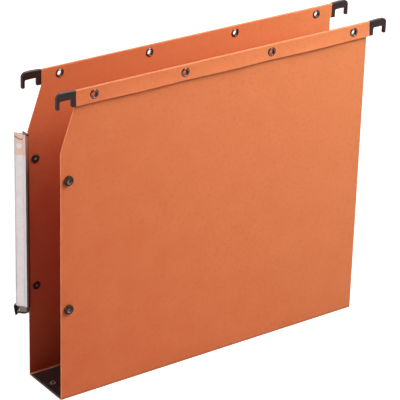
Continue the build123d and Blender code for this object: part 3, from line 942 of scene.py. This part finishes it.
def label_point(across, out, height):
    """Point of the label holder."""
    return LABEL_CORNER + MILLIMETRE * (ACROSS * across + OUTWARD * out + Vector((0, 0, height)))


def clear_material():
    """Clear plastic that passes most light, with a painted glow in its thick rib, and painted shade on its
    far wall and its cut edge.
    """
    material, tree, shader = new_material("clear_sleeve")
    place = tree.nodes.new("ShaderNodeTexCoord").outputs["Object"]
    haze = noise(tree, place, HAZE_SCALE, detail=4.0)["Fac"]
    across = along(tree, place, ACROSS / MILLIMETRE, LABEL_CORNER.dot(ACROSS) / MILLIMETRE)
    height = add(tree, "ShaderNodeSeparateXYZ", {0: place}).outputs["Z"]
    edge = add(tree, "ShaderNodeAttribute", attribute_name="cut").outputs["Fac"]
    rib = ranged(tree, across, *RIB_ACROSS)
    far = ranged(tree, across, *FAR_ACROSS)
    cut = ranged(tree, edge, *CUT_SOFT)
    rib_glow = mixed(tree, ranged(tree, height, *HEAD_UP), CLEAR_RIB_GLOW, CLEAR_RIB_HEAD_GLOW)
    tone = CLEAR
    opacity = ranged(tree, haze, *HAZE_OPACITY)
    for mask, colour, least in (
        (rib, rib_glow, RIB_OPACITY),
        (far, CLEAR_FAR_SHADE, FAR_OPACITY),
        (cut, CLEAR_CUT_SHADE, CUT_OPACITY),
    ):
        tone = tinted(tree, tone, colour, mask)
        opacity = maths(tree, "MAXIMUM", opacity, maths(tree, "MULTIPLY", mask, least))
    rough = ranged(tree, haze, *CLEAR_ROUGHNESS)
    wire(tree, shader, Base_Color=tone, Roughness=rough, Alpha=opacity)
    shader.inputs["IOR"].default_value = CLEAR_IOR
    return material


def sleeve_mesh(name):
    """Rib, back and far wall as one bent wall, and the front wall with its scooped top edge."""
    shape = bmesh.new()
    cut = shape.verts.layers.float.new("cut")

    def column(across, out, top):
        verts = [shape.verts.new(label_point(across, out, z)) for z in (SLEEVE_LOW, top - CUT_BAND, top)]
        verts[-1][cut] = 1.0
        return verts

    def wall(columns):
        for near, far in zip(columns, columns[1:] + columns[:1]):
            for i in range(len(near) - 1):
                shape.faces.new((near[i], far[i], far[i + 1], near[i + 1]))

    section = (
        (0.0, SLEEVE_HALF),
        (0.0, -SLEEVE_HALF),
        (SLEEVE_WIDTH, -SLEEVE_HALF),
        (SLEEVE_WIDTH, SLEEVE_HALF),
        (SLEEVE_FAR, SLEEVE_HALF),
        (SLEEVE_FAR, -SLOT_HALF),
        (SLEEVE_RIB, -SLOT_HALF),
        (SLEEVE_RIB, SLEEVE_HALF),
    )
    bent = [column(across, out, SLEEVE_TOP) for across, out in section]
    wall(bent)
    inner = [column(across, SLOT_HALF, top) for across, top in SCOOP]
    outer = [column(across, SLEEVE_HALF, top) for across, top in SCOOP]
    wall(inner + outer[::-1])
    for end in (0, -1):
        shape.faces.new([verts[end] for verts in bent])
        for i in range(len(SCOOP) - 1):
            shape.faces.new((inner[i][end], inner[i + 1][end], outer[i + 1][end], outer[i][end]))
    return finished_mesh(name, shape)


sleeve = new_piece("label_sleeve_clear", sleeve_mesh("label_sleeve_clear"), clear_material())
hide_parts("label_sleeve")
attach(sleeve, "rear")


# Label end cap
# A glossy black moulded cap closes the sleeve's lower end, plugged into it. Its face is scooped and flares
# to a rim at the foot, with a rounded finger lip at the open side. The middle of the face has a painted
# sheen.
CAP_TOP = 68.0
CAP_BACK = -1.3
CAP_EDGE_BACK = 0.95
CAP_FACE = 1.3
CAP_FLARE = 2.2
CAP_FLARE_POWER = 1.7
CAP_NEAR = -1.8
CAP_NEAR_LOW = 64.3
CAP_NEAR_SAG = 0.6
CAP_WAVE = (5.15, 62.8)
CAP_WAVE_SWELL = 0.5
CAP_FOOT = (9.6, 60.2)
CAP_FOOT_POWER = 1.7
CAP_LIP_NEAR = 10.45
CAP_LIP_STEP = 0.4
CAP_LIP_TIP = 11.5
CAP_LIP_TOP = 69.8
CAP_LIP_CLOSE = 0.97
CAP_LIP_POWER = 1.35
CAP_ROLL = 0.6
CAP_ROLL_WIDTH = 0.8
CAP_ROLL_CREST = 10.1
CAP_ROLL_HOLLOW = 8.3
CAP_ROLL_SPAN = 0.75
CAP_RIM = 0.9
CAP_RIM_BULGE = 0.1
CAP_RIM_ROUND = 0.25
CAP_RIM_EDGE = 0.05
CAP_RIM_TUCK = 0.35
CAP_RIM_FOOT = 0.3
CAP_BACK_FOOT = 0.1
CAP_LEAST_WALL = 0.4
CAP_LEAST_FACE = 0.2
CAP_PLUG_NEAR = -0.4
CAP_PLUG = ((2.1, 9.6), (-0.38, -0.2), (67.9, 69.5))
CAP_COLUMNS = 54
CAP_ROWS = 14
# Painted sheen: the paler grey on the middle of the face
CAP_PAINTED_SHEEN = (0.30, 0.265, 0.25, 1)
CAP_SHEEN_FACE = {"attribute": "painted_sheen", "inner": 0.9, "outer": 2.0, "soft": 0.8, "pale_colour": CAP_PAINTED_SHEEN}
CAP_SKIN = {"roughness": 0.16, "grain": 900.0, "scuff": 120.0, "bump": 0.00003}
CAP_GLOSS = 0.35
# Where the painted sheen lies across and down the face
CAP_SHEEN_NEAR = (-0.6, 1.2)
CAP_SHEEN_FAR = (6.2, 8.0)
CAP_SHEEN_FOOT = (0.75, 0.95)


def eased(value, low, high):
    """Smooth step from zero at low to one at high."""
    part = min(max((value - low) / (high - low), 0.0), 1.0)
    return part * part * (3.0 - 2.0 * part)


def swelling(across, crest):
    """Smooth swelling of height one at its crest, as wide as the rolls of the face."""
    return exp(-(((across - crest) / CAP_ROLL_WIDTH) ** 2))


def end_cap_low_edge(across):
    """Height of the cap's waved lower edge."""
    (foot_across, foot_low), (wave_across, wave_low) = CAP_FOOT, CAP_WAVE
    if across >= foot_across:
        part = (across - foot_across) / (CAP_LIP_TIP - foot_across)
        return foot_low + (CAP_LIP_TOP - foot_low) * CAP_LIP_CLOSE * part**CAP_LIP_POWER
    if across >= wave_across:
        part = (across - wave_across) / (foot_across - wave_across)
        return wave_low + CAP_WAVE_SWELL * sin(pi * part) + (foot_low - wave_low) * part**CAP_FOOT_POWER
    part = (across - CAP_NEAR) / (wave_across - CAP_NEAR)
    return CAP_NEAR_LOW + (wave_low - CAP_NEAR_LOW) * part - CAP_NEAR_SAG * sin(pi * part)


def end_cap_section(across):
    """Closed section of the cap: face from the sleeve to the rim, rounded rim, underside and back."""
    top = CAP_TOP + (CAP_LIP_TOP - CAP_TOP) * eased(across, CAP_LIP_NEAR, CAP_LIP_NEAR + CAP_LIP_STEP)
    low = min(end_cap_low_edge(across), top - CAP_LEAST_WALL)
    rim_top = min(low + CAP_RIM, top - CAP_LEAST_FACE)
    back = CAP_BACK if across > CAP_PLUG_NEAR else CAP_EDGE_BACK
    roll = CAP_ROLL * (swelling(across, CAP_ROLL_CREST) - swelling(across, CAP_ROLL_HOLLOW))
    # Share of the painted sheen: the middle of the face
    middle = eased(across, *CAP_SHEEN_NEAR) * (1.0 - eased(across, *CAP_SHEEN_FAR))
    section = []
    for row in range(CAP_ROWS + 1):
        down = row / CAP_ROWS
        out = CAP_FACE + CAP_FLARE * down**CAP_FLARE_POWER + roll * sin(pi * down * CAP_ROLL_SPAN)
        section.append((out, top + (rim_top - top) * down, middle * (1.0 - eased(down, *CAP_SHEEN_FOOT))))
    rim = section[-1][0]
    for out, height in (
        (rim + CAP_RIM_BULGE, rim_top - CAP_RIM_ROUND),
        (rim + CAP_RIM_EDGE, low),
        (rim - CAP_RIM_TUCK, low - CAP_RIM_FOOT),
        (back, low - CAP_BACK_FOOT),
        (back, top),
    ):
        section.append((out, height, 0.0))
    return section


def end_cap_mesh(name):
    """Scooped cap, skinned over its sections from the near end to the lip, with the plug above it."""
    shape = bmesh.new()
    painted_sheen = shape.verts.layers.float.new("painted_sheen")
    columns = []
    for i in range(CAP_COLUMNS + 1):
        across = CAP_NEAR + (CAP_LIP_TIP - CAP_NEAR) * i / CAP_COLUMNS
        column = []
        for out, height, share in end_cap_section(across):
            vert = shape.verts.new(label_point(across, out, height))
            vert[painted_sheen] = share
            column.append(vert)
        columns.append(column)
    for near, far in zip(columns, columns[1:]):
        add_skin(shape, near, far)
    for face in shape.faces:
        face.smooth = True
    for end in (columns[0], columns[-1]):
        shape.faces.new(end)
    (near, far), (low, high), (foot, top) = CAP_PLUG
    corners = ((near, low), (far, low), (far, high), (near, high))
    add_prism(shape, *[[shape.verts.new(label_point(*corner, z)) for corner in corners] for z in (foot, top)])
    return finished_mesh(name, shape)


cap_black = black_material(
    "end_cap_plastic",
    BLACK_HOOK,
    BLACK_HOOK_DUST,
    **CAP_SKIN,
    wear_and_sheen=CAP_SHEEN_FACE,
    gloss=CAP_GLOSS,
)
end_cap = new_piece("label_end_cap_scooped", end_cap_mesh("label_end_cap_scooped"), cap_black)
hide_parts("label_end_cap")
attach(end_cap, "rear")


# Label
# A strip of white paper slides in the sleeve and can be drawn out by its top.
# Its head is tinted pale peach and carries a plain white disc.
LABEL_WHITE = (0.865, 0.784, 0.789, 1)
LABEL_SHADE = (0.840, 0.756, 0.761, 1)
LABEL_TINT = (0.82, 0.545, 0.435, 1)
LABEL_TINT_PATCHES = (*NOISE_SPAN, 0.9, 1.0)
LABEL_ROUGHNESS = (*NOISE_SPAN, 0.60, 0.75)
LABEL_OUTLINE = (
    (2.4, 68.1), (9.6, 68.1), (9.6, 234.3), (7.6, 234.2), (5.2, 233.7), (3.6, 233.1), (2.4, 232.4),
)
LABEL_HALF = 0.15
PRINTED_FACING = (-0.6, -0.4)
PRINTED_UP = (LABEL_HEAD - 0.0002, LABEL_HEAD + 0.0002)
DISC_ACROSS = 0.0058
DISC_HEIGHT = 0.2219
DISC_RADIUS = 0.0025
DISC_EDGE = (DISC_RADIUS - 0.0001, DISC_RADIUS + 0.0001)


def label_material():
    """White paper, tinted above a line on all but its back, with a plain disc on the tint."""
    material, tree, shader = new_material("label_paper")
    coords = tree.nodes.new("ShaderNodeTexCoord").outputs
    height = add(tree, "ShaderNodeSeparateXYZ", {0: coords["Object"]}).outputs["Z"]
    fibre = add(tree, "ShaderNodeGroup", {"Place": coords["Object"]}, node_tree=paper_fibre).outputs
    mottle = fibre["Mottle"]
    paper = mixed(tree, ranged(tree, mottle, *NOISE_SPAN), LABEL_SHADE, LABEL_WHITE)
    tint = mixed(tree, ranged(tree, mottle, *LABEL_TINT_PATCHES), paper, LABEL_TINT)
    across = along(tree, coords["Object"], ACROSS, LABEL_CORNER.dot(ACROSS) + DISC_ACROSS)
    up = maths(tree, "SUBTRACT", height, DISC_HEIGHT)
    squares = [maths(tree, "POWER", length, 2.0) for length in (across, up)]
    round_disc = ranged(tree, maths(tree, "SQRT", maths(tree, "ADD", *squares)), *DISC_EDGE)
    head = ranged(tree, height, *PRINTED_UP)
    printed = ranged(tree, along(tree, coords["Normal"], OUTWARD), *PRINTED_FACING)
    tone = tinted(tree, paper, tint, head, printed, round_disc)
    wire(tree, shader, Base_Color=tone, Roughness=ranged(tree, mottle, *LABEL_ROUGHNESS))
    return material


def label_mesh(name):
    """Paper strip with its top edge cut a little aslant."""
    shape = bmesh.new()
    faces = [
        [shape.verts.new(label_point(across, out, height)) for across, height in LABEL_OUTLINE]
        for out in (LABEL_HALF, -LABEL_HALF)
    ]
    add_prism(shape, *faces)
    return finished_mesh(name, shape)


label = new_piece("label_paper_strip", label_mesh("label_paper_strip"), label_material())
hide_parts("label_insert")
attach(label, "label")


# Studio
# Plain pale floor in a white sweep, soft light from the front right, the left and behind, a dim room
# behind the camera, and the camera where the photograph was taken.
WHITE = (1, 1, 1, 1)
MIDDLE = (0.0, 0.0, 0.15)
OPEN_EDGE = (-0.16, 0.03, 0.15)
RIGHT_PART = (0.1, 0.0, 0.2)
UPPER_PART = (0.05, 0.0, 0.2)
AMBIENT = 0.015
ROOM_TO_SWEEP = (-0.35, 0.25, 0.22, 1.0)
FLOOR_HALF = 6.0
FLOOR_HEIGHT = -0.0002
FLOOR_GREY = (0.45, 0.45, 0.45, 1)
FLOOR_ROUGHNESS = 0.9
FLOOR_GLOW = (0.6, 2.0, 0.80, 1.0)
CAMERA_PLACE = (-1.0070, -1.3997, 0.9562)
CAMERA_AZIMUTH = radians(-35.77)
CAMERA_ELEVATION = radians(25.27)
CAMERA_ROLL = radians(1.610)
CAMERA_SENSOR = 36.0
CAMERA_LENS = 192.1
CAMERA_REACH = 50.0


def direction(azimuth, elevation):
    """Direction by its azimuth, counted from the front to the right, and its elevation."""
    level = cos(elevation)
    return Vector((sin(azimuth) * level, -cos(azimuth) * level, sin(elevation)))


def area_light(name, place, target, size, power):
    """Round soft lamp that faces its target."""
    data = bpy.data.lights.new(name, "AREA")
    data.shape = "DISK"
    data.size = size
    data.energy = power
    light = bpy.data.objects.new(name, data)
    bpy.context.scene.collection.objects.link(light)
    light.location = place
    light.rotation_mode = "QUATERNION"
    light.rotation_quaternion = (Vector(target) - Vector(place)).to_track_quat("-Z", "Y")


def lamp_place(azimuth, elevation, distance, target):
    """Place at this distance from the target, its angles in degrees."""
    return Vector(target) + distance * direction(radians(azimuth), radians(elevation))


area_light("key_light", lamp_place(45, 45, 1.8, MIDDLE), MIDDLE, size=1.0, power=17.5)
area_light("right_light", (0.45, -0.75, 0.75), RIGHT_PART, size=0.5, power=3.9)
area_light("high_light", (0.25, -0.35, 0.95), UPPER_PART, size=0.5, power=3.7)
area_light("back_light", lamp_place(140, 50, 1.8, MIDDLE), MIDDLE, size=1.0, power=7.5)
area_light("edge_light", lamp_place(-93, 18, 1.3, OPEN_EDGE), OPEN_EDGE, size=0.4, power=15.4)
area_light("rear_light", lamp_place(178, 6, 1.8, MIDDLE), MIDDLE, size=1.0, power=16.0)

world = bpy.data.worlds.new("studio")
bpy.context.scene.world = world
world.use_nodes = True
tree = world.node_tree
background = tree.nodes["Background"]
ray = tree.nodes.new("ShaderNodeLightPath").outputs
way = add(tree, "ShaderNodeSeparateXYZ", {0: tree.nodes.new("ShaderNodeTexCoord").outputs["Generated"]})
sweep = ranged(tree, way.outputs["Y"], *ROOM_TO_SWEEP)
mirrored = maths(tree, "MAXIMUM", ray["Is Glossy Ray"], ray["Is Transmission Ray"])
level = maths(tree, "MAXIMUM", ray["Is Camera Ray"], maths(tree, "MULTIPLY", mirrored, sweep))
background.inputs["Color"].default_value = WHITE
wire(tree, background, Strength=maths(tree, "MAXIMUM", level, AMBIENT))

floor_mesh = bpy.data.meshes.new("floor")
floor_signs = ((-1, -1), (1, -1), (1, 1), (-1, 1))
floor_corners = [(x * FLOOR_HALF, y * FLOOR_HALF, FLOOR_HEIGHT) for x, y in floor_signs]
floor_mesh.from_pydata(floor_corners, [], [(0, 1, 2, 3)])
floor_material, tree, shader = new_material("pale_floor")
ray = tree.nodes.new("ShaderNodeLightPath").outputs
spot = tree.nodes.new("ShaderNodeTexCoord").outputs["Object"]
reach = add(tree, "ShaderNodeVectorMath", {0: spot}, operation="LENGTH").outputs["Value"]
seen = maths(tree, "MAXIMUM", ray["Is Camera Ray"], ray["Is Transmission Ray"])
glow = maths(tree, "MULTIPLY", seen, ranged(tree, reach, *FLOOR_GLOW))
shader.inputs["Base Color"].default_value = FLOOR_GREY
shader.inputs["Roughness"].default_value = FLOOR_ROUGHNESS
shader.inputs["Emission Color"].default_value = WHITE
wire(tree, shader, Emission_Strength=glow)
floor = new_piece("floor", floor_mesh, floor_material)

back = direction(CAMERA_AZIMUTH, CAMERA_ELEVATION)
right = Vector((cos(CAMERA_AZIMUTH), sin(CAMERA_AZIMUTH), 0))
up = back.cross(right)
camera_right = cos(CAMERA_ROLL) * right + sin(CAMERA_ROLL) * up
camera_up = cos(CAMERA_ROLL) * up - sin(CAMERA_ROLL) * right
turned = Matrix((camera_right, camera_up, back)).transposed().to_4x4()
camera_data = bpy.data.cameras.new("photo_camera")
camera_data.sensor_width = CAMERA_SENSOR
camera_data.lens = CAMERA_LENS
camera_data.clip_end = CAMERA_REACH
camera = bpy.data.objects.new("photo_camera", camera_data)
bpy.context.scene.collection.objects.link(camera)
camera.matrix_world = Matrix.Translation(CAMERA_PLACE) @ turned
bpy.context.scene.camera = camera
bpy.context.scene.view_settings.view_transform = "Standard"
